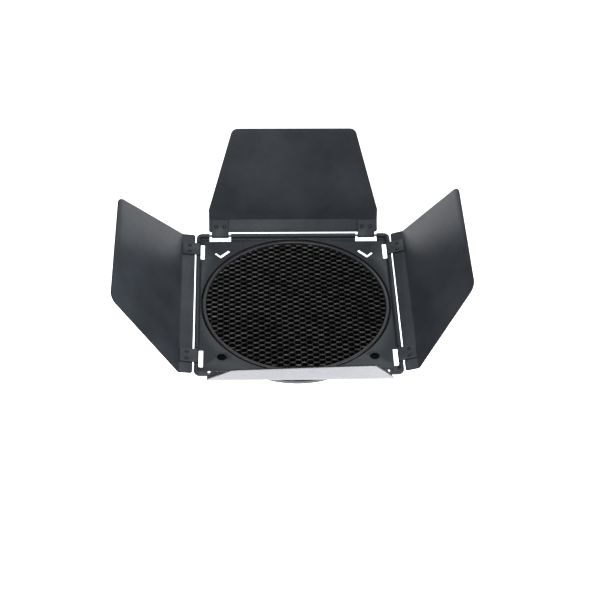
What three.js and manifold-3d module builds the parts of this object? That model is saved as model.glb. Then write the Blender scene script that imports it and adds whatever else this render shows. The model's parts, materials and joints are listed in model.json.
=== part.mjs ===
// Four-leaf barn door attachment for a 170 mm studio reflector, with a honeycomb grid and four colour
// filter cassettes. Millimetres. +Z is the throw direction, and z = 0 is the rear rim of the collar.
import * as THREE from "three";
import { mergeVertices } from "three/addons/utils/BufferGeometryUtils.js";
import Module from "manifold-3d";

const wasm = await Module();
wasm.setup();

// Front plate: a square sheet with an upturned edge, rolled round the hinge wire.
const PLATE_HALF = 100;
const PLATE_FRONT = 24;
const SHEET = 1;
const OPENING_RADIUS = 94.3;
const BEAD_RADIUS = 2.4;
const BEAD_BORE = 1.4;
const BEAD_LIFT = 2.2;
const BEAD_CORNER = 4;
const CORNER_STEPS = 5;
const WIRE_RADIUS = 1.25;
const GAP = 0.3;

// Windows that let the hinge leaves reach the wire, two on each side of the plate.
const WINDOW_CENTRE = 75.5;
const WINDOW_LENGTH = 22;
const WINDOW_INNER = 91.4;

// L-shaped slits at the far corners and round holes at the near corners.
const SLIT_CORNER = { x: 75.8, y: 67.3 };
const SLIT_LONG = { length: 13.6, width: 3 };
const SLIT_SHORT = { length: 7.8, width: 2.2 };
const HOLE = { x: 73.3, y: -73.3, radius: 4.65 };

// Honeycomb grid, whose core is a thin disc, and the seat that it drops into.
const GRID_OUTER = 92.8;
const GRID_INNER = 89.2;
const GRID_DEPTH = 8;
const GRID_EDGE = 0.8;
const CORE_SHEET = 1;
const SEAT_WALL = 1;
const SEAT_LEDGE = 0.8;
const SEAT_INNER = 90.5;

// Filter cassettes: thin octagons in a stack behind the grid.
const CASSETTE_HALF = 88.8;
const CASSETTE_CHAMFER = 31.7;
const CASSETTE_THICK = 1.2;
const CASSETTE_STEP_RADIUS = 82;
const CASSETTE_STEP_DEPTH = 0.4;
const CASSETTE_HOLE = 75;
const FILTER_RADIUS = 77.1;
const FILTER_THICK = 0.3;

// Rails beside the cassettes, and the collar that slips over the reflector.
const RAIL_CLEARANCE = 0.4;
const RAIL_REACH = 74;
const RAIL_LIP = 5;
const RAIL_FOOT = { from: 36, to: 58 };
const RAIL_STOP = 16;
const COLLAR_OUTER = 87.3;
const COLLAR_WALL = 1.1;
const COLLAR_FLANGE = 91;
const COLLAR_LENGTH = 7.9;

// Doors: a flange at the hinge, then a panel that leans further forward, tapering to its tip.
const FLANGE_START = 3.6;
const FOLD = 16.9;
const DOOR_HEEL_CORNER = 2;
const NARROW_DOOR = { heel: 87.2, tip: 62.1, length: 115.4, straight: 27.8, corner: 7.5, bend: 28 };
const WIDE_DOOR = { heel: 97.6, tip: 71.7, length: 111.6, straight: 17.4, corner: 11, bend: 43 };
const DOORS = [
  { name: "far", turn: 0, size: NARROW_DOOR, lift: 42.3 },
  { name: "left", turn: 90, size: WIDE_DOOR, lift: 7.3 },
  { name: "near", turn: 180, size: NARROW_DOOR, lift: 24.2 },
  { name: "right", turn: 270, size: WIDE_DOOR, lift: 17 },
];

// Hinge leaves and their rivets.
const LEAF_WIDTH = 17.5;
const LEAF_SHEET = 0.8;
const LEAF_END = 16.4;
const RIVET_SPACING = 8.7;
const RIVET_REACH = 9.3;
const RIVET_SHANK = 1;
const RIVET_HEAD = 1.7;
const RIVET_DOME = 0.8;
const RIVET_SHOULDER = 0.2;
const RIVET_BROW = 0.75;
const RIVET_TAIL = 0.5;

// Heights and places that follow from the sizes above.
const AXIS = PLATE_HALF - BEAD_RADIUS;
const AXIS_HEIGHT = PLATE_FRONT + BEAD_LIFT;
const PLATE_BACK = PLATE_FRONT - SHEET;
const GRID_BACK = PLATE_FRONT - GRID_DEPTH;
const SEAT_BACK = GRID_BACK - SEAT_LEDGE;
const RAIL_INNER = CASSETTE_HALF + RAIL_CLEARANCE;
const RAIL_OUTER = RAIL_INNER + SHEET;
const LIP_TOP = COLLAR_LENGTH + SHEET;
const LEAF_TOP = BEAD_RADIUS;
const LEAF_UNDER = LEAF_TOP - LEAF_SHEET;
const DOOR_TOP = LEAF_UNDER - GAP;
const DOOR_MIDDLE = DOOR_TOP - SHEET / 2;
const degrees = THREE.MathUtils.degToRad;

// Sides of a round piece: wide, hidden or filter-sized, a barrel or bar, the bead's bore, and a rivet.
const BIG_SIDES = 72;
const MEDIUM_SIDES = 48;
const BAR_SIDES = 16;
const BORE_SIDES = 12;
const SMALL_SIDES = 8;
const CURVE_STEPS = 8;
const MERGE_DISTANCE = 1e-4;

const finish = (color, roughness, metalness) =>
  new THREE.MeshStandardMaterial({ color, roughness, metalness });
const FINISH = {
  plate: () => finish(0x3c4043, 0.45, 0.6),
  door: () => finish(0x32383c, 0.4, 0.6),
  leaf: () => finish(0x404346, 0.45, 0.6),
  rivet: () => finish(0x4a4d50, 0.4, 0.7),
  wire: () => finish(0x55585a, 0.35, 0.9),
  rim: () => finish(0x4b4b4b, 0.4, 0.7),
  core: () => finish(0x151515, 0.5, 0.5),
  cassette: () => finish(0x161c1e, 0.5, 0),
};
const FILTERS = [
  { name: "red", color: 0xfa0019 },
  { name: "green", color: 0x00eb69 },
  { name: "blue", color: 0x0070ff },
  { name: "yellow", color: 0xffe61e },
];

// A closed geometry as a solid that can be cut and joined.
function solid(geometry) {
  const bare = geometry.clone();
  bare.deleteAttribute("normal");
  bare.deleteAttribute("uv");
  const merged = mergeVertices(bare, MERGE_DISTANCE);
  return new wasm.Manifold(
    new wasm.Mesh({
      numProp: 3,
      vertProperties: new Float32Array(merged.attributes.position.array),
      triVerts: new Uint32Array(merged.index.array),
    }),
  );
}

// A solid turned back into a geometry.
function geometryOf(body) {
  const { vertProperties, triVerts } = body.getMesh();
  const geometry = new THREE.BufferGeometry();
  geometry.setAttribute("position", new THREE.BufferAttribute(vertProperties, 3));
  geometry.setIndex(new THREE.BufferAttribute(triVerts, 1));
  geometry.computeVertexNormals();
  return geometry;
}

const join = (bodies) => bodies.reduce((all, body) => all.add(body));

function addMesh(group, name, body, material) {
  const geometry = body.isBufferGeometry ? body : geometryOf(body);
  const mesh = new THREE.Mesh(geometry, material);
  mesh.name = name;
  group.add(mesh);
  return mesh;
}

// A box from its low corner to its high corner.
function block(low, high) {
  const size = high.map((value, i) => value - low[i]);
  const middle = high.map((value, i) => (value + low[i]) / 2);
  return solid(new THREE.BoxGeometry(...size).translate(...middle));
}

// A round bar along Z from one height to another.
function pin(radius, low, high, sides = BIG_SIDES) {
  const bar = new THREE.CylinderGeometry(radius, radius, high - low, sides);
  return solid(bar.rotateX(Math.PI / 2).translate(0, 0, (low + high) / 2));
}

// A ring about Z from a closed outline of [radius, height] corners, anticlockwise.
function ring(outline, sides = BIG_SIDES) {
  const corners = [...outline, outline[0]].map(([r, z]) => new THREE.Vector2(r, z));
  return solid(new THREE.LatheGeometry(corners, sides).rotateX(Math.PI / 2));
}

// A square outline with round corners, centred on the axis.
function roundedSquare(half, corner) {
  const shape = new THREE.Shape();
  const straight = half - corner;
  shape.absarc(straight, straight, corner, 0, Math.PI / 2);
  shape.absarc(-straight, straight, corner, Math.PI / 2, Math.PI);
  shape.absarc(-straight, -straight, corner, Math.PI, Math.PI * 1.5);
  shape.absarc(straight, -straight, corner, Math.PI * 1.5, Math.PI * 2);
  return shape;
}

// A flat outline made into a plate, from one height to another.
function slab(shape, low, high) {
  const settings = { depth: high - low, bevelEnabled: false, curveSegments: CURVE_STEPS };
  const plate = new THREE.ExtrudeGeometry(shape, settings);
  return solid(plate.translate(0, 0, low));
}

// A round bar that follows the plate's edge, all the way round: a torus with its quarters moved apart.
function edgeBar(radius, sides) {
  const straight = AXIS - BEAD_CORNER;
  const rings = 4 * (CORNER_STEPS + 1);
  const bar = new THREE.TorusGeometry(BEAD_CORNER, radius, sides, rings);
  const position = bar.attributes.position;
  for (let i = 0; i < position.count; i++) {
    const place = (i % (rings + 1)) % rings;
    const quarter = Math.floor(place / (CORNER_STEPS + 1));
    const step = place % (CORNER_STEPS + 1);
    const angle = (quarter + step / CORNER_STEPS) * (Math.PI / 2);
    const reach = Math.hypot(position.getX(i), position.getY(i));
    const x = quarter === 0 || quarter === 3 ? straight : -straight;
    const y = quarter < 2 ? straight : -straight;
    position.setX(i, x + reach * Math.cos(angle));
    position.setY(i, y + reach * Math.sin(angle));
  }
  return solid(bar.translate(0, 0, AXIS_HEIGHT));
}

function hingeWindows() {
  const parts = [];
  for (let side = 0; side < 4; side++)
    for (const centre of [-WINDOW_CENTRE, WINDOW_CENTRE]) {
      const low = [centre - WINDOW_LENGTH / 2, WINDOW_INNER, PLATE_BACK - 1];
      const high = [centre + WINDOW_LENGTH / 2, PLATE_HALF + 1, AXIS_HEIGHT + BEAD_RADIUS + 1];
      parts.push(block(low, high).rotate([0, 0, side * 90]));
    }
  return join(parts);
}

// One L-shaped slit, its long arm along the cassette's chamfer; side is -1 on the left, 1 on the right.
function cornerSlit(side) {
  const low = PLATE_BACK - 1;
  const high = PLATE_FRONT + 1;
  const long = block([0, -SLIT_LONG.width / 2, low], [SLIT_LONG.length, SLIT_LONG.width / 2, high]);
  const short = block([0, -SLIT_SHORT.length, low], [SLIT_SHORT.width, 0, high]);
  const slit = long.add(short).rotate([0, 0, 135]);
  const placed = slit.translate([SLIT_CORNER.x, SLIT_CORNER.y, 0]);
  return side > 0 ? placed : placed.mirror([1, 0, 0]);
}

function frontPlate(group) {
  const innerHalf = AXIS - BEAD_RADIUS;
  const innerCorner = BEAD_CORNER - BEAD_RADIUS;
  const sheet = slab(roundedSquare(innerHalf + SHEET, innerCorner + SHEET), PLATE_BACK, PLATE_FRONT);
  const upturn = slab(roundedSquare(innerHalf + SHEET, innerCorner + SHEET), PLATE_BACK, AXIS_HEIGHT);
  const inside = slab(roundedSquare(innerHalf, innerCorner), PLATE_FRONT, AXIS_HEIGHT + 1);
  const bead = edgeBar(BEAD_RADIUS, BAR_SIDES);
  const holes = [-HOLE.x, HOLE.x].map((x) =>
    pin(HOLE.radius, PLATE_BACK - 1, PLATE_FRONT + 1, BAR_SIDES * 2).translate([x, HOLE.y, 0]),
  );
  const opening = pin(OPENING_RADIUS, PLATE_BACK - 1, PLATE_FRONT + 1);
  const cuts = [opening, hingeWindows(), cornerSlit(-1), cornerSlit(1), ...holes];
  const shell = upturn.subtract(inside).add(sheet).add(bead).subtract(edgeBar(BEAD_BORE, BORE_SIDES));
  addMesh(group, "front_plate", shell.subtract(join(cuts)), FINISH.plate());
  addMesh(group, "hinge_wire", edgeBar(WIRE_RADIUS, SMALL_SIDES), FINISH.wire());
}

function grid(group) {
  const rim = ring([
    [GRID_INNER, GRID_BACK],
    [GRID_OUTER, GRID_BACK],
    [GRID_OUTER, PLATE_FRONT - GRID_EDGE],
    [GRID_OUTER - GRID_EDGE, PLATE_FRONT],
    [GRID_INNER + GRID_EDGE, PLATE_FRONT],
    [GRID_INNER, PLATE_FRONT - GRID_EDGE],
  ]);
  addMesh(group, "grid_rim", rim, FINISH.rim());
  const coreTop = PLATE_FRONT - GRID_EDGE;
  const core = pin(GRID_INNER - GAP, coreTop - CORE_SHEET, coreTop);
  addMesh(group, "grid_honeycomb", core, FINISH.core());
  const seat = ring(
    [
      [SEAT_INNER, SEAT_BACK],
      [OPENING_RADIUS + SEAT_WALL, SEAT_BACK],
      [OPENING_RADIUS + SEAT_WALL, PLATE_BACK],
      [OPENING_RADIUS, PLATE_BACK],
      [OPENING_RADIUS, GRID_BACK],
      [SEAT_INNER, GRID_BACK],
    ],
    MEDIUM_SIDES,
  );
  addMesh(group, "grid_seat", seat, FINISH.plate());
}

// One rail: wall, lip under the cassettes, stop along the far chamfer and feet up to the plate.
function rail(side) {
  const top = SEAT_BACK - GAP;
  const cornerY = CASSETTE_HALF - CASSETTE_CHAMFER;
  const wall = block([RAIL_INNER, -RAIL_REACH, COLLAR_LENGTH], [RAIL_OUTER, cornerY, top]);
  const lipStart = [RAIL_INNER - RAIL_LIP, -RAIL_REACH, COLLAR_LENGTH];
  const lip = block(lipStart, [RAIL_OUTER, cornerY - RAIL_LIP, LIP_TOP]);
  const stop = block([0, 0, COLLAR_LENGTH], [SHEET, RAIL_STOP, top]).rotate([0, 0, 45]);
  const parts = [wall, lip, stop.translate([RAIL_INNER, cornerY, 0])];
  for (const end of [-1, 1]) {
    const [from, to] = [end * RAIL_FOOT.from, end * RAIL_FOOT.to].sort((a, b) => a - b);
    parts.push(block([RAIL_INNER, from, COLLAR_LENGTH], [RAIL_OUTER, to, PLATE_BACK]));
    parts.push(block([RAIL_INNER, from, PLATE_BACK - SHEET], [RAIL_OUTER + RAIL_LIP, to, PLATE_BACK]));
  }
  const seatRoom = pin(OPENING_RADIUS + SEAT_WALL + GAP, top, PLATE_FRONT, MEDIUM_SIDES);
  const made = join(parts).subtract(seatRoom);
  return side > 0 ? made : made.mirror([1, 0, 0]);
}

function rear(group) {
  addMesh(group, "filter_rail_left", rail(-1), FINISH.plate());
  addMesh(group, "filter_rail_right", rail(1), FINISH.plate());
  const bore = COLLAR_OUTER - COLLAR_WALL;
  const flangeBack = COLLAR_LENGTH - SHEET;
  const collar = ring([
    [bore, 0],
    [COLLAR_OUTER, 0],
    [COLLAR_OUTER, flangeBack],
    [COLLAR_FLANGE, flangeBack],
    [COLLAR_FLANGE, COLLAR_LENGTH],
    [bore, COLLAR_LENGTH],
  ]);
  addMesh(group, "reflector_collar", collar, FINISH.plate());
}

function octagon() {
  const shape = new THREE.Shape();
  const long = CASSETTE_HALF;
  const short = CASSETTE_HALF - CASSETTE_CHAMFER;
  shape.moveTo(long, -short).lineTo(long, short).lineTo(short, long).lineTo(-short, long);
  shape.lineTo(-long, short).lineTo(-long, -short).lineTo(-short, -long).lineTo(short, -long);
  shape.closePath();
  return shape;
}

function cassettes(group) {
  FILTERS.forEach(({ name, color }, place) => {
    const top = SEAT_BACK - GAP - place * (CASSETTE_THICK + GAP);
    const back = top - CASSETTE_THICK;
    const ledge = top - CASSETTE_STEP_DEPTH - FILTER_THICK;
    const frame = slab(octagon(), back, top)
      .subtract(pin(CASSETTE_STEP_RADIUS, top - CASSETTE_STEP_DEPTH, top + 1, MEDIUM_SIDES))
      .subtract(pin(FILTER_RADIUS + GAP, ledge, top + 1, MEDIUM_SIDES))
      .subtract(pin(CASSETTE_HOLE, back - 1, top + 1, MEDIUM_SIDES));
    addMesh(group, `cassette_${name}`, frame, FINISH.cassette());
    const disc = pin(FILTER_RADIUS, ledge, ledge + FILTER_THICK, MEDIUM_SIDES);
    addMesh(group, `filter_${name}`, disc, finish(color, 0.25, 0));
  });
}

// The panel outline in its own plane, with y from the hinge line: straight, then tapering to the tip.
function doorOutline({ heel, tip, length, straight, corner }) {
  const shape = new THREE.Shape();
  const lean = Math.atan((heel - tip) / (length - straight));
  const inset = corner * Math.tan(Math.PI / 4 - lean / 2);
  const cornerX = tip - inset;
  const cornerY = length - corner;
  shape.moveTo(-heel, FOLD);
  shape.lineTo(heel, FOLD);
  shape.lineTo(heel, straight);
  shape.lineTo(tip + inset * Math.sin(lean), length - inset * Math.cos(lean));
  shape.absarc(cornerX, cornerY, corner, lean, Math.PI / 2);
  shape.absarc(-cornerX, cornerY, corner, Math.PI / 2, Math.PI - lean);
  shape.lineTo(-heel, straight);
  shape.closePath();
  return shape;
}

function flangeOutline({ heel }) {
  const shape = new THREE.Shape();
  const corner = DOOR_HEEL_CORNER;
  shape.moveTo(heel, FOLD);
  shape.lineTo(-heel, FOLD);
  shape.absarc(-heel + corner, FLANGE_START + corner, corner, Math.PI, Math.PI * 1.5);
  shape.absarc(heel - corner, FLANGE_START + corner, corner, Math.PI * 1.5, Math.PI * 2);
  shape.closePath();
  return shape;
}

function doorSheet(size, rivetHoles) {
  const flange = slab(flangeOutline(size), DOOR_TOP - SHEET, DOOR_TOP);
  const panel = slab(doorOutline(size), -SHEET / 2, SHEET / 2)
    .translate([0, -FOLD, 0])
    .rotate([size.bend, 0, 0])
    .translate([0, FOLD, DOOR_MIDDLE]);
  const crease = new THREE.CylinderGeometry(SHEET / 2, SHEET / 2, 2 * size.heel, SMALL_SIDES);
  const bend = solid(crease.rotateZ(Math.PI / 2).translate(0, FOLD, DOOR_MIDDLE));
  return join([flange, panel, bend]).subtract(rivetHoles);
}

// A leaf: a barrel round the wire and a strip out over the flange.
function leaf(centre, rivetHoles) {
  const half = LEAF_WIDTH / 2;
  const along = (radius, length) => {
    const bar = new THREE.CylinderGeometry(radius, radius, length, BAR_SIDES);
    return solid(bar.rotateZ(Math.PI / 2).translate(centre, 0, 0));
  };
  const strip = block([centre - half, 0, LEAF_UNDER], [centre + half, LEAF_END, LEAF_TOP]);
  const barrel = along(BEAD_RADIUS, LEAF_WIDTH).add(strip);
  return barrel.subtract(along(LEAF_UNDER, LEAF_WIDTH + 2)).subtract(rivetHoles);
}

// A rivet with a domed head in front and a flat head behind.
function rivet() {
  const underHead = LEAF_TOP + GAP / 2;
  const tailTop = DOOR_TOP - SHEET - GAP / 2;
  const tail = tailTop - RIVET_TAIL;
  const shoulder = [RIVET_HEAD, underHead + RIVET_SHOULDER];
  const brow = [RIVET_HEAD * RIVET_BROW, underHead + RIVET_DOME * RIVET_BROW];
  const outline = [[0, tail], [RIVET_HEAD, tail], [RIVET_HEAD, tailTop], [RIVET_SHANK, tailTop]];
  outline.push([RIVET_SHANK, underHead], [RIVET_HEAD, underHead], shoulder, brow);
  outline.push([0, underHead + RIVET_DOME]);
  const corners = outline.map(([r, z]) => new THREE.Vector2(r, z));
  return new THREE.LatheGeometry(corners, SMALL_SIDES).rotateX(Math.PI / 2);
}

function door(group, { name, turn, size, lift }) {
  const side = new THREE.Group();
  side.rotation.z = degrees(turn);
  const hinge = new THREE.Group();
  hinge.position.set(0, AXIS, AXIS_HEIGHT);
  hinge.rotation.x = degrees(lift);
  group.add(side);
  side.add(hinge);
  const centres = [-WINDOW_CENTRE, WINDOW_CENTRE];
  const places = centres.flatMap((x) => [x - RIVET_SPACING / 2, x + RIVET_SPACING / 2]);
  const holes = join(
    places.map((x) =>
      pin(RIVET_SHANK + GAP, -BEAD_RADIUS, LEAF_TOP + 1, SMALL_SIDES).translate([x, RIVET_REACH, 0]),
    ),
  );
  addMesh(hinge, `door_${name}`, doorSheet(size, holes), FINISH.door());
  centres.forEach((centre, i) => {
    addMesh(hinge, `leaf_${name}_${i + 1}`, leaf(centre, holes), FINISH.leaf());
  });
  places.forEach((x, i) => {
    const mesh = addMesh(hinge, `rivet_${name}_${i + 1}`, rivet(), FINISH.rivet());
    mesh.position.set(x, RIVET_REACH, 0);
  });
}

const barnDoors = new THREE.Group();
barnDoors.name = "barn_door_attachment";
frontPlate(barnDoors);
grid(barnDoors);
rear(barnDoors);
cassettes(barnDoors);
for (const each of DOORS) door(barnDoors, each);

export default barnDoors;
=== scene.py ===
"""Barn door attachment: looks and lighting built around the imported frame.

Meshes are drawn in millimetres, and finish_mesh turns them into metres.
"""

import json  # noqa: E402
import math  # noqa: E402

import bmesh  # noqa: E402
import bpy  # noqa: E402
from mathutils import Matrix, Vector  # noqa: E402


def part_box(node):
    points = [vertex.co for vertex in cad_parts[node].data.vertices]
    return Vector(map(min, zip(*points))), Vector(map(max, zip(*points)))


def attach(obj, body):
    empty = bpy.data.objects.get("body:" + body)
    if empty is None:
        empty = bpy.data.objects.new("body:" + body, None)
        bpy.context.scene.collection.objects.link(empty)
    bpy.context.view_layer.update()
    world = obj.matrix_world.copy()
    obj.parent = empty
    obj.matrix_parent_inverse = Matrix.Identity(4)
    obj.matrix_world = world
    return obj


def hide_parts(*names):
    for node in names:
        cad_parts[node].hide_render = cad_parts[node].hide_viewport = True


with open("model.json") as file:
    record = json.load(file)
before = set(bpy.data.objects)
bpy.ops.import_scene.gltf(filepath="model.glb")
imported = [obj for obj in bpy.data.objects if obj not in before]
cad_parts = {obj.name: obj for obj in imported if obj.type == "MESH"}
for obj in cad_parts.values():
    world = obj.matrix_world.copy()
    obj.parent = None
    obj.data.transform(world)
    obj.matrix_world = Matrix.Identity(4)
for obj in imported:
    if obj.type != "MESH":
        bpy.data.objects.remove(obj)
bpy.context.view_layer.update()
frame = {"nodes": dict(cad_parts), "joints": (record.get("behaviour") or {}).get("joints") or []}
NODES = frame["nodes"]
JOINTS = {joint["name"]: joint for joint in frame["joints"]}
MM = 0.001

# Heights and radii read from the frame.
PLATE_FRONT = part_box("grid_rim")[1].z / MM
OUTER_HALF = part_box("front_plate")[1].x / MM
AXIS = JOINTS["far_door_hinge"]["pos_m"][1] / MM
AXIS_HEIGHT = JOINTS["far_door_hinge"]["pos_m"][2] / MM
BEAD_RADIUS = OUTER_HALF - AXIS
GRID_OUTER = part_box("grid_rim")[1].x / MM
GRID_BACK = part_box("grid_rim")[0].z / MM
CORE_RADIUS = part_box("grid_honeycomb")[1].x / MM
CORE_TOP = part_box("grid_honeycomb")[1].z / MM

# Front plate.
SHEET = 1.0
PLATE_BACK = PLATE_FRONT - SHEET
OPENING_RADIUS = 94.3
BEAD_WALL = 0.9
BEAD_CORNER = 4.0
BEAD_FILLET = 1.1
BEAD_END = -130.0
BEAD_FOOT_STEP = 0.01
BEAD_FOOT_RISE = 0.1
WIRE_RADIUS = 1.25
WINDOW_CENTRE = 75.5
WINDOW_LENGTH = 22.0
WINDOW_START = WINDOW_CENTRE - WINDOW_LENGTH / 2
WINDOW_END = WINDOW_CENTRE + WINDOW_LENGTH / 2
WINDOW_INNER = 91.4
SLIT_CORNER = (75.8, 67.3)
SLIT_LONG = (13.6, 3.0)
SLIT_SHORT = (7.8, 2.2)
SLIT_TURN = 135.0
HOLE = (73.3, -73.3, 4.65)

# Grid. Its foil gets a painted highlight down to one depth and painted shade from another on. The ends of the
# walls, told by how much their normal rises, are painted dark; walls whose normal leans along Y, facing the
# near or far side, carry more of the painted highlight than the side walls.
RIM_WALL = 3.6
RIM_ROUND = 0.9
CELL_PITCH = 6.65
CELL_WALL = 0.22
CELL_DEPTH = 7.2
CELL_SHADE_DEPTH = 2.4
CELL_HIGHLIGHT_DEPTH = 0.48
FOIL_HIGHLIGHT_COLOR = (0.34, 0.34, 0.34)
FOIL_SHADE_COLOR = (0.006, 0.006, 0.007, 1)
FOIL_SHADED_ENDS = (0.8, 0.4)
FOIL_Y_HIGHLIGHT = (0.6, 0.95)
SIDE_WALL_HIGHLIGHT = 0.38

# Collar, grid seat and filter cassettes.
COLLAR_OUTER = 87.3
COLLAR_WALL = 1.1
SEAT_INNER = 90.5
CASSETTE_CHAMFER = 31.7
CASSETTE_STEP_RADIUS = 82.0
CASSETTE_STEP_DEPTH = 0.4
CASSETTE_HOLE = 75.0
CASSETTE_ROUND = 0.15
FILM_ROUND = 0.08

# Doors and hinge leaves, in the frame of their hinge.
FLANGE_START = 3.6
FOLD = 16.9
BEND_RADIUS = 2.6
DOOR_HEEL_CORNER = 2.4
NARROW = {"heel": 87.2, "tip": 62.1, "length": 115.4, "straight": 27.8, "corner": 7.5, "bend": 28.0}
WIDE = {"heel": 97.6, "tip": 71.7, "length": 111.6, "straight": 17.4, "corner": 11.0, "bend": 43.0}
DOORS = (
    {"name": "far", "turn": 0, "size": NARROW, "lift": 42.3, "pulled": 0.0},
    {"name": "left", "turn": 90, "size": WIDE, "lift": 7.3, "pulled": 0.0},
    {"name": "near", "turn": 180, "size": NARROW, "lift": 24.2, "pulled": 3.15},
    {"name": "right", "turn": 270, "size": WIDE, "lift": 17.0, "pulled": 0.0},
)
LEAF_WIDTH = 17.5
LEAF_SHEET = 0.8
LEAF_END = 16.4
LEAF_BLUNT = 1.0
LEAF_MIDDLE = BEAD_RADIUS - LEAF_SHEET / 2
LEAF_CURL = LEAF_MIDDLE * math.radians(285)
GAP = 0.3
DOOR_MIDDLE = BEAD_RADIUS - LEAF_SHEET - GAP - SHEET / 2
DOOR_UNDER = DOOR_MIDDLE - SHEET / 2

# Rivets: (radius, height) over the leaf and under the door, and the groove between head and ring, painted
# dark as painted shade.
RIVET_SPACING = 8.7
RIVET_REACH = 9.3
RIVET_DOME = ((0.25, 0.71), (0.5, 0.68), (0.95, 0.5), (1.2, 0.06))
RIVET_RING = ((1.75, 0.06), (1.85, 0.38), (2.0, 0.44), (2.12, 0.36), (2.17, 0.02), (1.0, -0.02))
RIVET_TAIL = ((1.0, 0.0), (1.55, 0.0), (1.55, -0.3), (1.3, -0.45), (0.25, -0.45))
RIVET_SHADE_RING = (1.05, 1.75)

# Rounded edges. A cut at SUPPORT beside a bend keeps the flat stretch next to it evenly lit, and a face
# whose normal rises less than FLAT belongs to a cut edge.
EDGE = 0.2
LEAF_EDGE = 0.32
TURNED_EDGE = 0.25
SUPPORT = 0.4
FLAT = 0.95

# Steps of the curves, and distances below which points are one.
ROUND_STEPS = 144
WIDE_STEPS = 180
HOLE_STEPS = 32
RIVET_STEPS = 24
BEAD_STEPS = 26
CURL_STEPS = 24
FOLD_STEPS = 8
PANEL_STEPS = 10
SHEET_MERGE = 0.002
CELL_MERGE = 0.01
CUT_MERGE = 1e-5
TINY = 1e-6


# ---------------------------------------------------------------- materials


def node(tree, kind, **inputs):
    made = tree.nodes.new(kind)
    for name, value in inputs.items():
        key = name.replace("_", " ")
        if key in made.inputs:
            made.inputs[key].default_value = value
        else:
            setattr(made, name, value)
    return made


def mapped(tree, value, start, end, low=0.0, high=1.0, **options):
    """A value carried from the range start to end over to the range low to high."""
    made = node(tree, "ShaderNodeMapRange", **options)
    made.inputs["From Min"].default_value = start
    made.inputs["From Max"].default_value = end
    made.inputs["To Min"].default_value = low
    made.inputs["To Max"].default_value = high
    tree.links.new(value, made.inputs["Value"])
    return made.outputs["Result"]


def product(tree, first, second):
    made = node(tree, "ShaderNodeMath", operation="MULTIPLY")
    tree.links.new(first, made.inputs[0])
    tree.links.new(second, made.inputs[1])
    return made.outputs["Value"]


def surface(name, color, roughness, metallic=0.0, ior=1.3, tint=0.12, cloud=18.0, grain=1400.0, bump=0.02,
            spread=0.06):
    """Paint, film or plastic: cloudy colour and gloss, and a fine grain in the surface."""
    material = bpy.data.materials.new(name)
    material.use_nodes = True
    tree = material.node_tree
    shader = tree.nodes["Principled BSDF"]
    shader.inputs["Metallic"].default_value = metallic
    shader.inputs["IOR"].default_value = ior
    place = node(tree, "ShaderNodeTexCoord").outputs["Object"]

    clouds = node(tree, "ShaderNodeTexNoise", Scale=cloud, Detail=4.0, Roughness=0.55)
    tree.links.new(place, clouds.inputs["Vector"])
    ramp = node(tree, "ShaderNodeValToRGB")
    dark, pale = ramp.color_ramp.elements
    dark.position = 0.3
    dark.color = [c * (1 - tint) for c in color] + [1]
    pale.position = 0.7
    pale.color = [min(1, c * (1 + tint)) for c in color] + [1]
    tree.links.new(clouds.outputs["Fac"], ramp.inputs["Fac"])
    tree.links.new(ramp.outputs["Color"], shader.inputs["Base Color"])

    speckle = node(tree, "ShaderNodeTexNoise", Scale=cloud * 7, Detail=3.0, Roughness=0.6)
    tree.links.new(place, speckle.inputs["Vector"])
    gloss = mapped(tree, speckle.outputs["Fac"], 0, 1, max(0.02, roughness - spread), roughness + spread)
    tree.links.new(gloss, shader.inputs["Roughness"])

    fine = node(tree, "ShaderNodeTexNoise", Scale=grain, Detail=2.0, Roughness=0.5)
    tree.links.new(place, fine.inputs["Vector"])
    relief = node(tree, "ShaderNodeBump", Strength=0.35, Distance=bump * MM)
    tree.links.new(fine.outputs["Fac"], relief.inputs["Height"])
    tree.links.new(relief.outputs["Normal"], shader.inputs["Normal"])
    return material


def film(name, color):
    """A dyed film: glossy and mostly clear, so that it glows over a pale ground and is dark in a stack."""
    material = surface(name, color, 0.22, tint=0.03, cloud=8.0, grain=60.0, bump=0.05, spread=0.04)
    material.node_tree.nodes["Principled BSDF"].inputs["Transmission Weight"].default_value = 0.95
    return material


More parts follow.
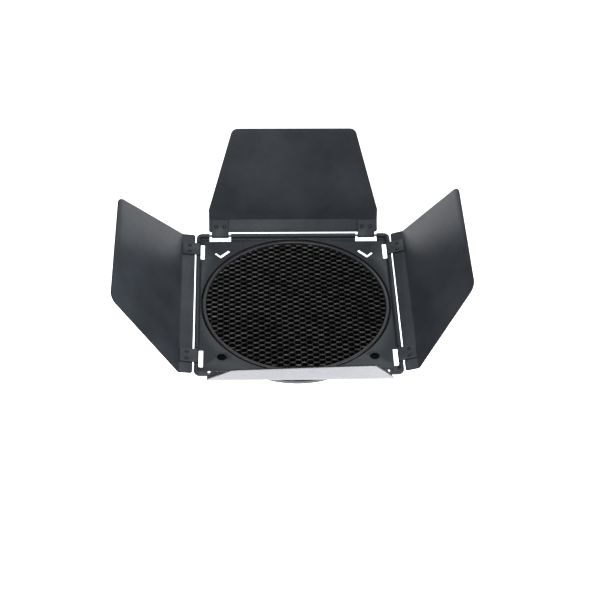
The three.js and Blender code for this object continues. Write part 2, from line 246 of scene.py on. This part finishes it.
def foil():
    """Black honeycomb foil with a painted highlight near its front edge, and painted shade further in.

    The wall ends are painted dark, and the walls that face the near or far side carry more of the painted
    highlight than the side walls.
    """
    material = surface("honeycomb", FOIL_HIGHLIGHT_COLOR, 0.42, metallic=0.3, tint=0.75, cloud=150.0, spread=0.12)
    tree = material.node_tree
    shader = tree.nodes["Principled BSDF"]
    patches = shader.inputs["Base Color"].links[0].from_socket
    place = node(tree, "ShaderNodeSeparateXYZ")
    tree.links.new(tree.nodes["Texture Coordinate"].outputs["Object"], place.inputs["Vector"])
    # Painted highlight near the front edge of the cells, fading to painted shade deeper in.
    shade_from = (CORE_TOP - CELL_SHADE_DEPTH) * MM
    highlight_to = (CORE_TOP - CELL_HIGHLIGHT_DEPTH) * MM
    front = mapped(tree, place.outputs["Z"], shade_from, highlight_to, interpolation_type="SMOOTHSTEP")

    facing = node(tree, "ShaderNodeSeparateXYZ")
    tree.links.new(node(tree, "ShaderNodeNewGeometry").outputs["True Normal"], facing.inputs["Vector"])
    # Painted shade: the ends of the walls, whose normals rise, are painted dark.
    unshaded_walls = mapped(tree, facing.outputs["Z"], *FOIL_SHADED_ENDS)
    across = node(tree, "ShaderNodeMath", operation="ABSOLUTE")
    tree.links.new(facing.outputs["Y"], across.inputs[0])
    # Painted highlight: walls facing the near or far side keep all of it, side walls only part.
    y_highlight = mapped(tree, across.outputs["Value"], *FOIL_Y_HIGHLIGHT, low=SIDE_WALL_HIGHLIGHT)

    mix = node(tree, "ShaderNodeMix", data_type="RGBA")
    mix.inputs["A"].default_value = FOIL_SHADE_COLOR
    tree.links.new(product(tree, product(tree, front, unshaded_walls), y_highlight), mix.inputs["Factor"])
    tree.links.new(patches, mix.inputs["B"])
    tree.links.new(mix.outputs["Result"], shader.inputs["Base Color"])
    return material


DOOR_PAINT = surface("door_paint", (0.032, 0.037, 0.044), 0.4, tint=0.26, cloud=26.0)
PLATE_PAINT = surface("plate_paint", (0.026, 0.031, 0.036), 0.3, tint=0.2)
LEAF_PAINT = surface("leaf_paint", (0.034, 0.039, 0.045), 0.36, tint=0.2, cloud=40.0)
COLLAR_PAINT = surface("collar_paint", (0.058, 0.06, 0.064), 0.4)
# Near black for the cut edges, bead ends and rivet grooves: painted shade for the dark lines there.
EDGE_SHADE_PAINT = surface("edge_painted_shade", (0.009, 0.01, 0.011), 0.6)
RIVET_PAINT = surface("rivet_paint", (0.045, 0.05, 0.057), 0.32, metallic=0.2)
WIRE_STEEL = surface("wire_steel", (0.16, 0.16, 0.165), 0.35, metallic=0.7)
RIM_METAL = surface("grid_rim", (0.055, 0.055, 0.058), 0.3, metallic=0.6, cloud=40.0)
CASSETTE_PLASTIC = surface("cassette", (0.012, 0.015, 0.017), 0.4, ior=1.45, grain=900.0)
FOIL = foil()
FILMS = {
    "red": film("filter_red", (0.93, 0.0, 0.012)),
    "green": film("filter_green", (0.0, 0.82, 0.14)),
    "blue": film("filter_blue", (0.0, 0.16, 1.0)),
    "yellow": film("filter_yellow", (1.0, 0.78, 0.012)),
}


# ---------------------------------------------------------------- mesh helpers


def finish_mesh(name, bm, material, body, angle=25.0, second=None):
    """Turns a bmesh in millimetres into a piece that rides on a body."""
    bmesh.ops.recalc_face_normals(bm, faces=bm.faces)
    bmesh.ops.scale(bm, vec=(MM, MM, MM), verts=bm.verts)
    mesh = bpy.data.meshes.new(name)
    bm.to_mesh(mesh)
    bm.free()
    for polygon in mesh.polygons:
        polygon.use_smooth = True
    mesh.set_sharp_from_angle(angle=math.radians(angle))
    mesh.materials.append(material)
    if second:
        mesh.materials.append(second)
    piece = bpy.data.objects.new(name, mesh)
    bpy.context.scene.collection.objects.link(piece)
    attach(piece, body)
    return piece


def mark_cut_edges(bm):
    """Gives the second material, the near-black painted shade of the cut edges, to the faces that don't lie
    flat.
    """
    bm.normal_update()
    for face in bm.faces:
        face.material_index = int(abs(face.normal.z) < FLAT)


def arc(cx, cy, radius, start, end, steps):
    """Points on an arc, angles in degrees."""
    angles = [math.radians(start + (end - start) * i / steps) for i in range(steps + 1)]
    return [(cx + radius * math.cos(a), cy + radius * math.sin(a)) for a in angles]


def circle(cx, cy, radius, steps):
    return arc(cx, cy, radius, 0, 360 - 360 / steps, steps - 1)


def rotated(points, degrees):
    c = math.cos(math.radians(degrees))
    s = math.sin(math.radians(degrees))
    return [(x * c - y * s, x * s + y * c) for x, y in points]


def join_rings(bm, rings, closed=True, loop=True):
    """Faces from ring to ring: closed when a ring's last point meets its first, loop when the rings do."""
    for i in range(len(rings) - int(not loop)):
        here = rings[i]
        there = rings[(i + 1) % len(rings)]
        for j in range(len(here) - int(not closed)):
            k = (j + 1) % len(here)
            bm.faces.new((here[j], there[j], there[k], here[k]))


def turned(bm, outlines, capped=False):
    """A body about Z through (angle, outline) pairs, all outlines with the same number of points.

    The outlines are closed, or run from one flat cap to the other.
    """
    rings = []
    for a, outline in outlines:
        rings.append([bm.verts.new((r * math.cos(a), r * math.sin(a), z)) for r, z in outline])
    join_rings(bm, rings, closed=not capped)
    if capped:
        bm.faces.new([ring[0] for ring in rings])
        bm.faces.new([ring[-1] for ring in rings])


def lathe(outline, steps=ROUND_STEPS, capped=False):
    """An outline of (radius, height) points turned about Z, as a bmesh."""
    bm = bmesh.new()
    turned(bm, [(2 * math.pi * i / steps, outline) for i in range(steps)], capped)
    return bm


def rounded(corners, edge=TURNED_EDGE):
    """Closed outline of (radius, height) corners with each corner cut back twice, as a small round.

    A short side keeps a little of its straight stretch between its two rounds.
    """
    made = []
    for i, corner in enumerate(corners):
        point = Vector(corner)
        before = Vector(corners[i - 1]) - point
        after = Vector(corners[(i + 1) % len(corners)]) - point
        reach = min(edge, before.length / 2.1, after.length / 2.1)
        start = point + before.normalized() * reach
        end = point + after.normalized() * reach
        made += [tuple(start), tuple((start + end) / 4 + point / 2), tuple(end)]
    return made


def sweep(bm, stations, profile, closed=False):
    """A closed profile of (outward, height) points carried along stations of (point, outward direction).

    The flat ends take the piece's second material.
    """
    rings = []
    for point, out in stations:
        rings.append([bm.verts.new((point[0] + out[0] * o, point[1] + out[1] * o, z)) for o, z in profile])
    join_rings(bm, rings, loop=closed)
    if not closed:
        for end in (rings[0], list(reversed(rings[-1]))):
            bm.faces.new(end).material_index = 1


def cut_sheet(outline, holes, low, high):
    """A flat sheet with holes as a bmesh in millimetres, with rounded edges that take the second material."""
    curve = bpy.data.curves.new("cut_sheet", "CURVE")
    curve.dimensions = "2D"
    curve.fill_mode = "BOTH"
    curve.extrude = (high - low) / 2 - EDGE
    curve.bevel_depth = EDGE
    curve.bevel_resolution = 1
    curve.offset = -EDGE
    for points in [outline, *holes]:
        spline = curve.splines.new("POLY")
        spline.points.add(len(points) - 1)
        for place, (x, y) in zip(spline.points, points):
            place.co = (x, y, 0, 1)
        spline.use_cyclic_u = True
    carrier = bpy.data.objects.new("cut_sheet", curve)
    bpy.context.scene.collection.objects.link(carrier)
    bpy.context.view_layer.update()
    mesh = bpy.data.meshes.new_from_object(carrier.evaluated_get(bpy.context.evaluated_depsgraph_get()))
    bm = bmesh.new()
    bm.from_mesh(mesh)
    bpy.data.objects.remove(carrier)
    bpy.data.curves.remove(curve)
    bpy.data.meshes.remove(mesh)
    bmesh.ops.remove_doubles(bm, verts=bm.verts, dist=SHEET_MERGE)
    bmesh.ops.translate(bm, vec=(0, 0, (low + high) / 2), verts=bm.verts)
    mark_cut_edges(bm)
    return bm


def clip_round(bm, radius, low, high):
    """Keeps what lies inside an upright cylinder."""
    bmesh.ops.recalc_face_normals(bm, faces=bm.faces)
    cutter = bmesh.new()
    size = {"segments": ROUND_STEPS, "radius1": radius, "radius2": radius, "depth": high - low}
    bmesh.ops.create_cone(cutter, cap_ends=True, **size)
    bmesh.ops.translate(cutter, vec=(0, 0, (low + high) / 2), verts=cutter.verts)
    carriers = []
    for name, made in (("clip_body", bm), ("clip_tool", cutter)):
        mesh = bpy.data.meshes.new(name)
        made.to_mesh(mesh)
        carriers.append(bpy.data.objects.new(name, mesh))
        bpy.context.scene.collection.objects.link(carriers[-1])
    cutter.free()
    cut = carriers[0].modifiers.new("clip", "BOOLEAN")
    cut.operation = "INTERSECT"
    cut.solver = "EXACT"
    cut.object = carriers[1]
    bpy.context.view_layer.update()
    result = bpy.data.meshes.new_from_object(carriers[0].evaluated_get(bpy.context.evaluated_depsgraph_get()))
    bm.clear()
    bm.from_mesh(result)
    bpy.data.meshes.remove(result)
    for carrier in carriers:
        mesh = carrier.data
        bpy.data.objects.remove(carrier)
        bpy.data.meshes.remove(mesh)


def bent_sheet(outline, thick, cuts, bend, edge=EDGE):
    """A sheet cut to a flat outline of (across, along) points, its edges rounded, then bent.

    bend(across, along) gives the place (y, z) of the middle of the sheet and the way (y, z) out of its front.
    The cut edges take the piece's second material.
    """
    bm = bmesh.new()
    bm.faces.new([bm.verts.new((x, s, -thick / 2)) for x, s in outline])
    for s in cuts:
        everything = bm.verts[:] + bm.edges[:] + bm.faces[:]
        bmesh.ops.bisect_plane(bm, geom=everything, dist=CUT_MERGE, plane_co=(0, s, 0), plane_no=(0, 1, 0))
    back = bm.faces[:]
    front = bmesh.ops.extrude_face_region(bm, geom=back)
    raised = [v for v in front["geom"] if isinstance(v, bmesh.types.BMVert)]
    bmesh.ops.translate(bm, vec=(0, 0, thick), verts=raised)
    bmesh.ops.recalc_face_normals(bm, faces=bm.faces)
    rim = [e for e in bm.edges if e.is_manifold and e.calc_face_angle() > math.radians(70)]
    bmesh.ops.bevel(bm, geom=rim, offset=edge, offset_type="OFFSET", segments=2, profile=0.5, affect="EDGES")
    mark_cut_edges(bm)
    for v in bm.verts:
        (y, z), (ny, nz) = bend(v.co.x, v.co.y)
        v.co = Vector((v.co.x, y + ny * v.co.z, z + nz * v.co.z))
    return bm


# ---------------------------------------------------------------- front plate


def side_station(side, along):
    """A point on the hinge line of one side of the plate, and the way out from it."""
    a = math.radians(90 * side)
    out = (-math.sin(a), math.cos(a))
    tangent = (math.cos(a), math.sin(a))
    return (out[0] * AXIS + tangent[0] * along, out[1] * AXIS + tangent[1] * along), out


def corner_stations(side, steps=10):
    """Stations round the corner from one side to the next, anticlockwise."""
    reach = AXIS - BEAD_CORNER
    a = math.radians(90 * side)
    centre = (-reach * (math.sin(a) + math.cos(a)), reach * (math.cos(a) - math.sin(a)))
    made = []
    for i in range(steps + 1):
        turn = a + math.pi / 2 * i / steps
        out = (-math.sin(turn), math.cos(turn))
        made.append(((centre[0] + out[0] * BEAD_CORNER, centre[1] + out[1] * BEAD_CORNER), out))
    return made


def plate_outline():
    """The sheet's edge, with a notch at each hinge window."""
    half = AXIS - BEAD_RADIUS + SHEET
    corner = BEAD_CORNER - BEAD_RADIUS + SHEET
    notch = [(WINDOW_END, half), (WINDOW_END, WINDOW_INNER)]
    notch += [(WINDOW_START, WINDOW_INNER), (WINDOW_START, half)]
    local = notch + [(-x, y) for x, y in reversed(notch)]
    local += [(-x, y) for x, y in arc(half - corner, half - corner, corner, 90, 0, 6)]
    points = []
    for side in range(4):
        points += rotated(local, 90 * side)
    return points


def slit_outline(side):
    """An L-shaped slit; its long arm points at the middle of the far edge."""
    long, wide = SLIT_LONG
    short, narrow = SLIT_SHORT
    local = [(0, wide / 2), (0, -short), (narrow, -short), (narrow, -wide / 2)]
    local += [(long, -wide / 2), (long, wide / 2)]
    return [(side * (SLIT_CORNER[0] + x), SLIT_CORNER[1] + y) for x, y in rotated(local, SLIT_TURN)]


def plate_sheet():
    holes = [circle(0, 0, OPENING_RADIUS, ROUND_STEPS), slit_outline(1), slit_outline(-1)]
    holes += [circle(x, HOLE[1], HOLE[2], HOLE_STEPS) for x in (-HOLE[0], HOLE[0])]
    bm = cut_sheet(plate_outline(), holes, PLATE_BACK, PLATE_FRONT)
    plate = finish_mesh("plate_sheet", bm, PLATE_PAINT, "frame", second=EDGE_SHADE_PAINT)
    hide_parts("front_plate")


def bead_profile():
    """Section of the plate's edge: up from the sheet in a fillet, then rolled most of the way round the wire.

    Its points are (outward from the hinge line, height).
    """
    inner = BEAD_RADIUS - BEAD_WALL
    foot = -BEAD_RADIUS - BEAD_FILLET
    profile = [(foot, PLATE_FRONT - SHEET / 2), (foot, PLATE_FRONT + BEAD_FOOT_STEP)]
    profile += arc(foot, PLATE_FRONT + BEAD_FILLET, BEAD_FILLET, -75, 0, 4)
    profile += arc(0, AXIS_HEIGHT, BEAD_RADIUS, 180, BEAD_END, BEAD_STEPS)
    profile += arc(0, AXIS_HEIGHT, inner, BEAD_END, 180, BEAD_STEPS)
    return profile + [(-inner, PLATE_BACK + BEAD_FOOT_RISE)]


def plate_bead():
    """The rolled edge, in a straight length on each side and a length round each corner."""
    profile = bead_profile()
    bm = bmesh.new()
    for side in range(4):
        sweep(bm, [side_station(side, WINDOW_START), side_station(side, -WINDOW_START)], profile)
        start = side_station(side, -WINDOW_END)
        end = side_station((side + 1) % 4, WINDOW_END)
        sweep(bm, [start, *corner_stations(side), end], profile)
    bead = finish_mesh("plate_bead", bm, PLATE_PAINT, "frame", second=EDGE_SHADE_PAINT)
    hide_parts("front_plate")


def wire():
    bm = bmesh.new()
    stations = [s for side in range(4) for s in corner_stations(side)]
    sweep(bm, stations, circle(0, AXIS_HEIGHT, WIRE_RADIUS, 12), closed=True)
    rod = finish_mesh("wire", bm, WIRE_STEEL, "frame", angle=40)
    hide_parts("hinge_wire")


# ---------------------------------------------------------------- honeycomb grid


def rim():
    inside = GRID_OUTER - RIM_WALL
    centre = PLATE_FRONT - RIM_ROUND
    outline = arc(inside + RIM_ROUND, centre, RIM_ROUND, 180, 90, 5)
    outline += arc(GRID_OUTER - RIM_ROUND, centre, RIM_ROUND, 90, 0, 5)
    outline += [(GRID_OUTER, GRID_BACK), (inside, GRID_BACK)]
    band = finish_mesh("rim", lathe(outline, WIDE_STEPS), RIM_METAL, "frame", angle=35)
    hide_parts("grid_rim")


def cell(bm, cx, cy, outer, inner, low, high):
    """The inner walls of one cell, and its share of the walls' ends."""
    edge_low = [bm.verts.new((cx + x, cy + y, low)) for x, y in outer]
    edge_high = [bm.verts.new((cx + x, cy + y, high)) for x, y in outer]
    ring_low = [bm.verts.new((cx + x, cy + y, low)) for x, y in inner]
    ring_high = [bm.verts.new((cx + x, cy + y, high)) for x, y in inner]
    for k in range(6):
        n = (k + 1) % 6
        bm.faces.new((edge_high[k], edge_high[n], ring_high[n], ring_high[k]))
        bm.faces.new((edge_low[n], edge_low[k], ring_low[k], ring_low[n]))
        bm.faces.new((ring_high[k], ring_high[n], ring_low[n], ring_low[k]))


def close_outside(bm, middle):
    """Walls round the outside of the outermost cells; middle is a height between their ends."""

    def spot(v):
        return round(v.co.x, 2), round(v.co.y, 2)

    below = {spot(v): v for v in bm.verts if v.co.z < middle}
    for edge in [e for e in bm.edges if e.is_boundary and e.verts[0].co.z > middle]:
        a, b = edge.verts
        bm.faces.new((a, b, below[spot(b)], below[spot(a)]))


def honeycomb():
    side = CELL_PITCH / math.sqrt(3)
    column_step = 1.5 * side
    outer = circle(0, 0, side, 6)
    inner = circle(0, 0, side * (1 - CELL_WALL / CELL_PITCH), 6)
    low = CORE_TOP - CELL_DEPTH
    columns = int(CORE_RADIUS / column_step) + 2
    rows = int(CORE_RADIUS / CELL_PITCH) + 2
    bm = bmesh.new()
    for i in range(-columns, columns + 1):
        for j in range(-rows, rows + 1):
            cx = i * column_step
            cy = (j + 0.5 * (i % 2)) * CELL_PITCH
            if math.hypot(cx, cy) <= CORE_RADIUS + side:
                cell(bm, cx, cy, outer, inner, low, CORE_TOP)
    bmesh.ops.remove_doubles(bm, verts=bm.verts, dist=CELL_MERGE)
    close_outside(bm, (low + CORE_TOP) / 2)
    clip_round(bm, CORE_RADIUS, low - 1, CORE_TOP + 1)
    core = finish_mesh("honeycomb", bm, FOIL, "frame", angle=20)
    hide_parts("grid_honeycomb")


# ---------------------------------------------------------------- doors


def door_outline(size):
    heel = size["heel"]
    corner = size["corner"]
    lean = math.atan((heel - size["tip"]) / (size["length"] - size["straight"]))
    corner_x = size["tip"] - corner * math.tan(math.pi / 4 - lean / 2)
    right = arc(heel - DOOR_HEEL_CORNER, FLANGE_START + DOOR_HEEL_CORNER, DOOR_HEEL_CORNER, -90, 0, 5)
    right += [(heel, size["straight"])]
    right += arc(corner_x, size["length"] - corner, corner, math.degrees(lean), 90, 10)
    return right + [(-x, y) for x, y in reversed(right)]


def fold_run(size):
    """How far along the sheet the soft fold starts before the fold line, and ends after it."""
    return BEND_RADIUS * math.tan(math.radians(size["bend"]) / 2)


def door_bend(size, pulled):
    """The door's form for bent_sheet: flange, soft fold, panel; one tip corner may be pulled in a little."""
    bend = math.radians(size["bend"])
    run = fold_run(size)

    def form(across, s):
        if s < FOLD - run:
            return (s, DOOR_MIDDLE), (0, 1)
        if s > FOLD + run:
            reach = s - FOLD
            rise = pulled * (1 - across / size["tip"]) / 2 * reach / (size["length"] - FOLD)
            place = (FOLD + reach * math.cos(bend) - rise * math.sin(bend),
                     DOOR_MIDDLE + reach * math.sin(bend) + rise * math.cos(bend))
            return place, (-math.sin(bend), math.cos(bend))
        a = bend * (s - FOLD + run) / (2 * run)
        place = (FOLD - run + BEND_RADIUS * math.sin(a), DOOR_MIDDLE + BEND_RADIUS * (1 - math.cos(a)))
        return place, (-math.sin(a), math.cos(a))

    return form


def leaf_outline():
    """The flat strip of a leaf, from its blunt free end to the end that is curled round the wire."""
    half = LEAF_WIDTH / 2
    end = LEAF_END + LEAF_CURL
    outline = [(half, end), (-half, end)]
    outline += arc(-half + LEAF_BLUNT, LEAF_BLUNT, LEAF_BLUNT, 180, 270, 4)
    outline += arc(half - LEAF_BLUNT, LEAF_BLUNT, LEAF_BLUNT, 270, 360, 4)
    return outline


def leaf_bend(across, s):
    """The middle of the leaf strip, from its free end to the end of its curl round the wire."""
    if s < LEAF_END:
        return (LEAF_END - s, LEAF_MIDDLE), (0, 1)
    a = math.pi / 2 + (s - LEAF_END) / LEAF_MIDDLE
    return (LEAF_MIDDLE * math.cos(a), LEAF_MIDDLE * math.sin(a)), (math.cos(a), math.sin(a))


def place_at_hinge(bm, door, across=0.0):
    turn = Matrix.Rotation(math.radians(door["turn"]), 4, "Z")
    lift = Matrix.Rotation(math.radians(door["lift"]), 4, "X")
    shift = Matrix.Translation((across, AXIS, AXIS_HEIGHT))
    bmesh.ops.transform(bm, matrix=turn @ shift @ lift, verts=bm.verts)


def door_panel(door):
    size = door["size"]
    run = fold_run(size)
    panel = size["length"] - FOLD - run
    cuts = [FOLD - run + 2 * run * i / FOLD_STEPS for i in range(FOLD_STEPS + 1)]
    cuts += [FOLD - run - SUPPORT, FOLD + run + SUPPORT]
    cuts += [FOLD + run + panel * i / PANEL_STEPS for i in range(1, PANEL_STEPS)]
    bm = bent_sheet(door_outline(size), SHEET, cuts, door_bend(size, door["pulled"]))
    place_at_hinge(bm, door)
    name = door["name"]
    piece = finish_mesh(f"panel_{name}", bm, DOOR_PAINT, f"door_{name}", second=EDGE_SHADE_PAINT)
    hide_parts(f"door_{name}")


def hinge_leaf(door, number, centre):
    cuts = [LEAF_END - SUPPORT] + [LEAF_END + LEAF_CURL * i / CURL_STEPS for i in range(CURL_STEPS)]
    bm = bent_sheet(leaf_outline(), LEAF_SHEET, cuts, leaf_bend, LEAF_EDGE)
    place_at_hinge(bm, door, centre)
    name = door["name"]
    body = f"door_{name}"
    strip = finish_mesh(f"hinge_{name}_{number}", bm, LEAF_PAINT, body, 28, EDGE_SHADE_PAINT)
    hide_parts(f"leaf_{name}_{number}")


def rivet(door, number, centre, shift):
    outline = [(r, BEAD_RADIUS + z) for r, z in RIVET_DOME + RIVET_RING]
    outline += [(r, DOOR_UNDER + z) for r, z in RIVET_TAIL]
    bm = lathe(outline, RIVET_STEPS, capped=True)
    # The groove's faces get the near-black second material: painted shade round the dome.
    for face in bm.faces:
        reach = face.calc_center_median().xy.length
        face.material_index = int(RIVET_SHADE_RING[0] < reach < RIVET_SHADE_RING[1])
    bmesh.ops.translate(bm, vec=(shift, RIVET_REACH, 0), verts=bm.verts)
    place_at_hinge(bm, door, centre)
    name = door["name"]
    body = f"door_{name}"
    stud = finish_mesh(f"stud_{name}_{number}", bm, RIVET_PAINT, body, 50, EDGE_SHADE_PAINT)
    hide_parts(f"rivet_{name}_{number}")


def doors():
    for door in DOORS:
        door_panel(door)
        for i, centre in enumerate((-WINDOW_CENTRE, WINDOW_CENTRE)):
            hinge_leaf(door, i + 1, centre)
            for k, shift in enumerate((-RIVET_SPACING / 2, RIVET_SPACING / 2)):
                rivet(door, 2 * i + k + 1, centre, shift)


# ---------------------------------------------------------------- behind the plate


def collar():
    low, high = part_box("reflector_collar")
    back = low.z / MM
    front = high.z / MM
    flange = high.x / MM
    step = front - SHEET
    bore = COLLAR_OUTER - COLLAR_WALL
    corners = [(bore, back), (COLLAR_OUTER, back), (COLLAR_OUTER, step)]
    corners += [(flange, step), (flange, front), (bore, front)]
    tube = finish_mesh("collar", lathe(rounded(corners), WIDE_STEPS), COLLAR_PAINT, "frame")
    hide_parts("reflector_collar")


def seat():
    low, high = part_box("grid_seat")
    back = low.z / MM
    outer = high.x / MM
    corners = [(SEAT_INNER, back), (outer, back), (outer, PLATE_BACK), (OPENING_RADIUS, PLATE_BACK)]
    corners += [(OPENING_RADIUS, GRID_BACK), (SEAT_INNER, GRID_BACK)]
    ring = finish_mesh("seat", lathe(rounded(corners), WIDE_STEPS), PLATE_PAINT, "frame")
    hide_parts("grid_seat")


def octagon_radius(angle, half, chamfer):
    across = abs(math.cos(angle))
    up = abs(math.sin(angle))
    return min(half / max(across, TINY), half / max(up, TINY), (2 * half - chamfer) / (across + up))


def tray(color, radius, ledge):
    """An octagon with a stepped round recess for the film, with a section at each of its corners."""
    low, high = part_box(f"cassette_{color}")
    half = high.x / MM
    back = low.z / MM
    top = high.z / MM
    corner = math.atan2(half - CASSETTE_CHAMFER, half)
    angles = [2 * math.pi * i / ROUND_STEPS for i in range(ROUND_STEPS)]
    angles += [math.pi / 2 * k + side for k in range(4) for side in (corner, math.pi / 2 - corner)]
    step = top - CASSETTE_STEP_DEPTH
    inside = [(CASSETTE_STEP_RADIUS, top), (CASSETTE_STEP_RADIUS, step), (radius + GAP, step)]
    inside += [(radius + GAP, ledge), (CASSETTE_HOLE, ledge), (CASSETTE_HOLE, back)]
    outlines = []
    for a in sorted(angles):
        reach = octagon_radius(a, half, CASSETTE_CHAMFER)
        outlines.append((a, rounded([(reach, back), (reach, top), *inside], CASSETTE_ROUND)))
    bm = bmesh.new()
    turned(bm, outlines)
    piece = finish_mesh(f"tray_{color}", bm, CASSETTE_PLASTIC, f"filter_holder_{color}")
    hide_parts(f"cassette_{color}")


def disc(color, radius, ledge, top):
    under = [(radius - SUPPORT, ledge), (radius - FILM_ROUND, ledge), (radius, ledge + FILM_ROUND)]
    over = [(radius, top - FILM_ROUND), (radius - FILM_ROUND, top), (radius - SUPPORT, top)]
    bm = lathe(under + over, capped=True)
    piece = finish_mesh(f"film_{color}", bm, FILMS[color], f"filter_holder_{color}")
    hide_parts(f"filter_{color}")


def filters():
    for color in FILMS:
        low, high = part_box(f"filter_{color}")
        radius = high.x / MM
        ledge = low.z / MM
        tray(color, radius, ledge)
        disc(color, radius, ledge, high.z / MM)


def rails():
    """The rails keep their frame shape, with their edges softened."""
    for name in ("filter_rail_left", "filter_rail_right"):
        part = NODES[name]
        part.data.materials.clear()
        part.data.materials.append(PLATE_PAINT)
        soften = part.modifiers.new("soften", "BEVEL")
        soften.width = EDGE * MM
        soften.segments = 2
        soften.limit_method = "ANGLE"
        soften.angle_limit = math.radians(40)


# ---------------------------------------------------------------- stage


# The floor glows by distance in metres from a point under the near side: (distance, share of the glow).
FLOOR_HALF = 6.0
GLOW_CENTRE = (0.0, -0.12, 0.0)
GLOW = ((0.14, 1.0), (0.3, 0.32), (0.6, 0.32), (1.0, 0.13))
GLOW_STRENGTH = 3.1


def floor_material():
    material = bpy.data.materials.new("floor")
    material.use_nodes = True
    tree = material.node_tree
    shader = tree.nodes["Principled BSDF"]
    shader.inputs["Base Color"].default_value = (0.8, 0.8, 0.8, 1)
    shader.inputs["Roughness"].default_value = 0.9
    shader.inputs["Specular IOR Level"].default_value = 0.0
    shader.inputs["Emission Color"].default_value = (0.96, 0.96, 1, 1)
    reach = node(tree, "ShaderNodeVectorMath", operation="DISTANCE")
    reach.inputs[1].default_value = GLOW_CENTRE
    tree.links.new(node(tree, "ShaderNodeTexCoord").outputs["Object"], reach.inputs[0])
    falloff = node(tree, "ShaderNodeValToRGB")
    while len(falloff.color_ramp.elements) < len(GLOW):
        falloff.color_ramp.elements.new(0.5)
    for stop, (distance, share) in zip(falloff.color_ramp.elements, GLOW):
        stop.position = distance
        stop.color = (share, share, share, 1)
    tree.links.new(reach.outputs["Value"], falloff.inputs["Fac"])
    glow = node(tree, "ShaderNodeMath", operation="MULTIPLY")
    glow.inputs[1].default_value = GLOW_STRENGTH
    tree.links.new(falloff.outputs["Color"], glow.inputs[0])
    tree.links.new(glow.outputs["Value"], shader.inputs["Emission Strength"])
    return material


def stage():
    """A pale floor that glows most under the near side."""
    bm = bmesh.new()
    bmesh.ops.create_grid(bm, x_segments=1, y_segments=1, size=FLOOR_HALF)
    mesh = bpy.data.meshes.new("floor")
    bm.to_mesh(mesh)
    bm.free()
    mesh.materials.append(floor_material())
    floor = bpy.data.objects.new("floor", mesh)
    bpy.context.scene.collection.objects.link(floor)


def soft_light(name, place, target, size, power):
    data = bpy.data.lights.new(name, "AREA")
    data.shape = "RECTANGLE"
    data.size, data.size_y = size
    data.energy = power
    lamp = bpy.data.objects.new(name, data)
    lamp.location = place
    lamp.rotation_euler = (Vector(target) - Vector(place)).to_track_quat("-Z", "Y").to_euler()
    bpy.context.scene.collection.objects.link(lamp)


def lighting():
    world = bpy.data.worlds.new("studio")
    world.use_nodes = True
    background = world.node_tree.nodes["Background"]
    background.inputs["Color"].default_value = (0.93, 0.97, 1, 1)
    background.inputs["Strength"].default_value = 0.33
    bpy.context.scene.world = world
    plate = (0, 0, 0.03)
    soft_light("key", (-0.25, -1.35, 1.65), plate, (0.9, 0.4), 12)
    soft_light("fill", (1.3, -0.5, 1.0), plate, (0.8, 0.8), 9)
    soft_light("top", (0, 0.3, 1.7), plate, (1.4, 0.4), 13)
    soft_light("back", (0.3, 1.5, 1.1), plate, (1.2, 0.5), 4)
    soft_light("strip", (-0.4, -1.7, 0.62), (0, 0.1, 0.05), (0.9, 0.2), 4)


CAMERA_AZIMUTH = -2.94
CAMERA_ELEVATION = 44.23
CAMERA_ROLL = 1.67
CAMERA_DISTANCE = 1.5197
CAMERA_LENS = 93.44
CAMERA_SHIFT = (-0.0018, 0.0133)


def camera():
    a = math.radians(CAMERA_AZIMUTH)
    e = math.radians(CAMERA_ELEVATION)
    target = Vector((0, 0, PLATE_FRONT * MM))
    back = Vector((math.sin(a) * math.cos(e), -math.cos(a) * math.cos(e), math.sin(e)))
    data = bpy.data.cameras.new("camera")
    data.lens = CAMERA_LENS
    data.shift_x, data.shift_y = CAMERA_SHIFT
    data.clip_start = 0.05
    data.clip_end = 50
    eye = bpy.data.objects.new("camera", data)
    eye.location = target + back * CAMERA_DISTANCE
    level = (-back).to_track_quat("-Z", "Y").to_matrix()
    eye.rotation_euler = (level @ Matrix.Rotation(math.radians(CAMERA_ROLL), 3, "Z")).to_euler()
    bpy.context.scene.collection.objects.link(eye)
    bpy.context.scene.camera = eye
    bpy.context.scene.view_settings.view_transform = "Standard"


plate_sheet()
plate_bead()
wire()
rim()
honeycomb()
doors()
collar()
seat()
filters()
rails()
stage()
lighting()
camera()
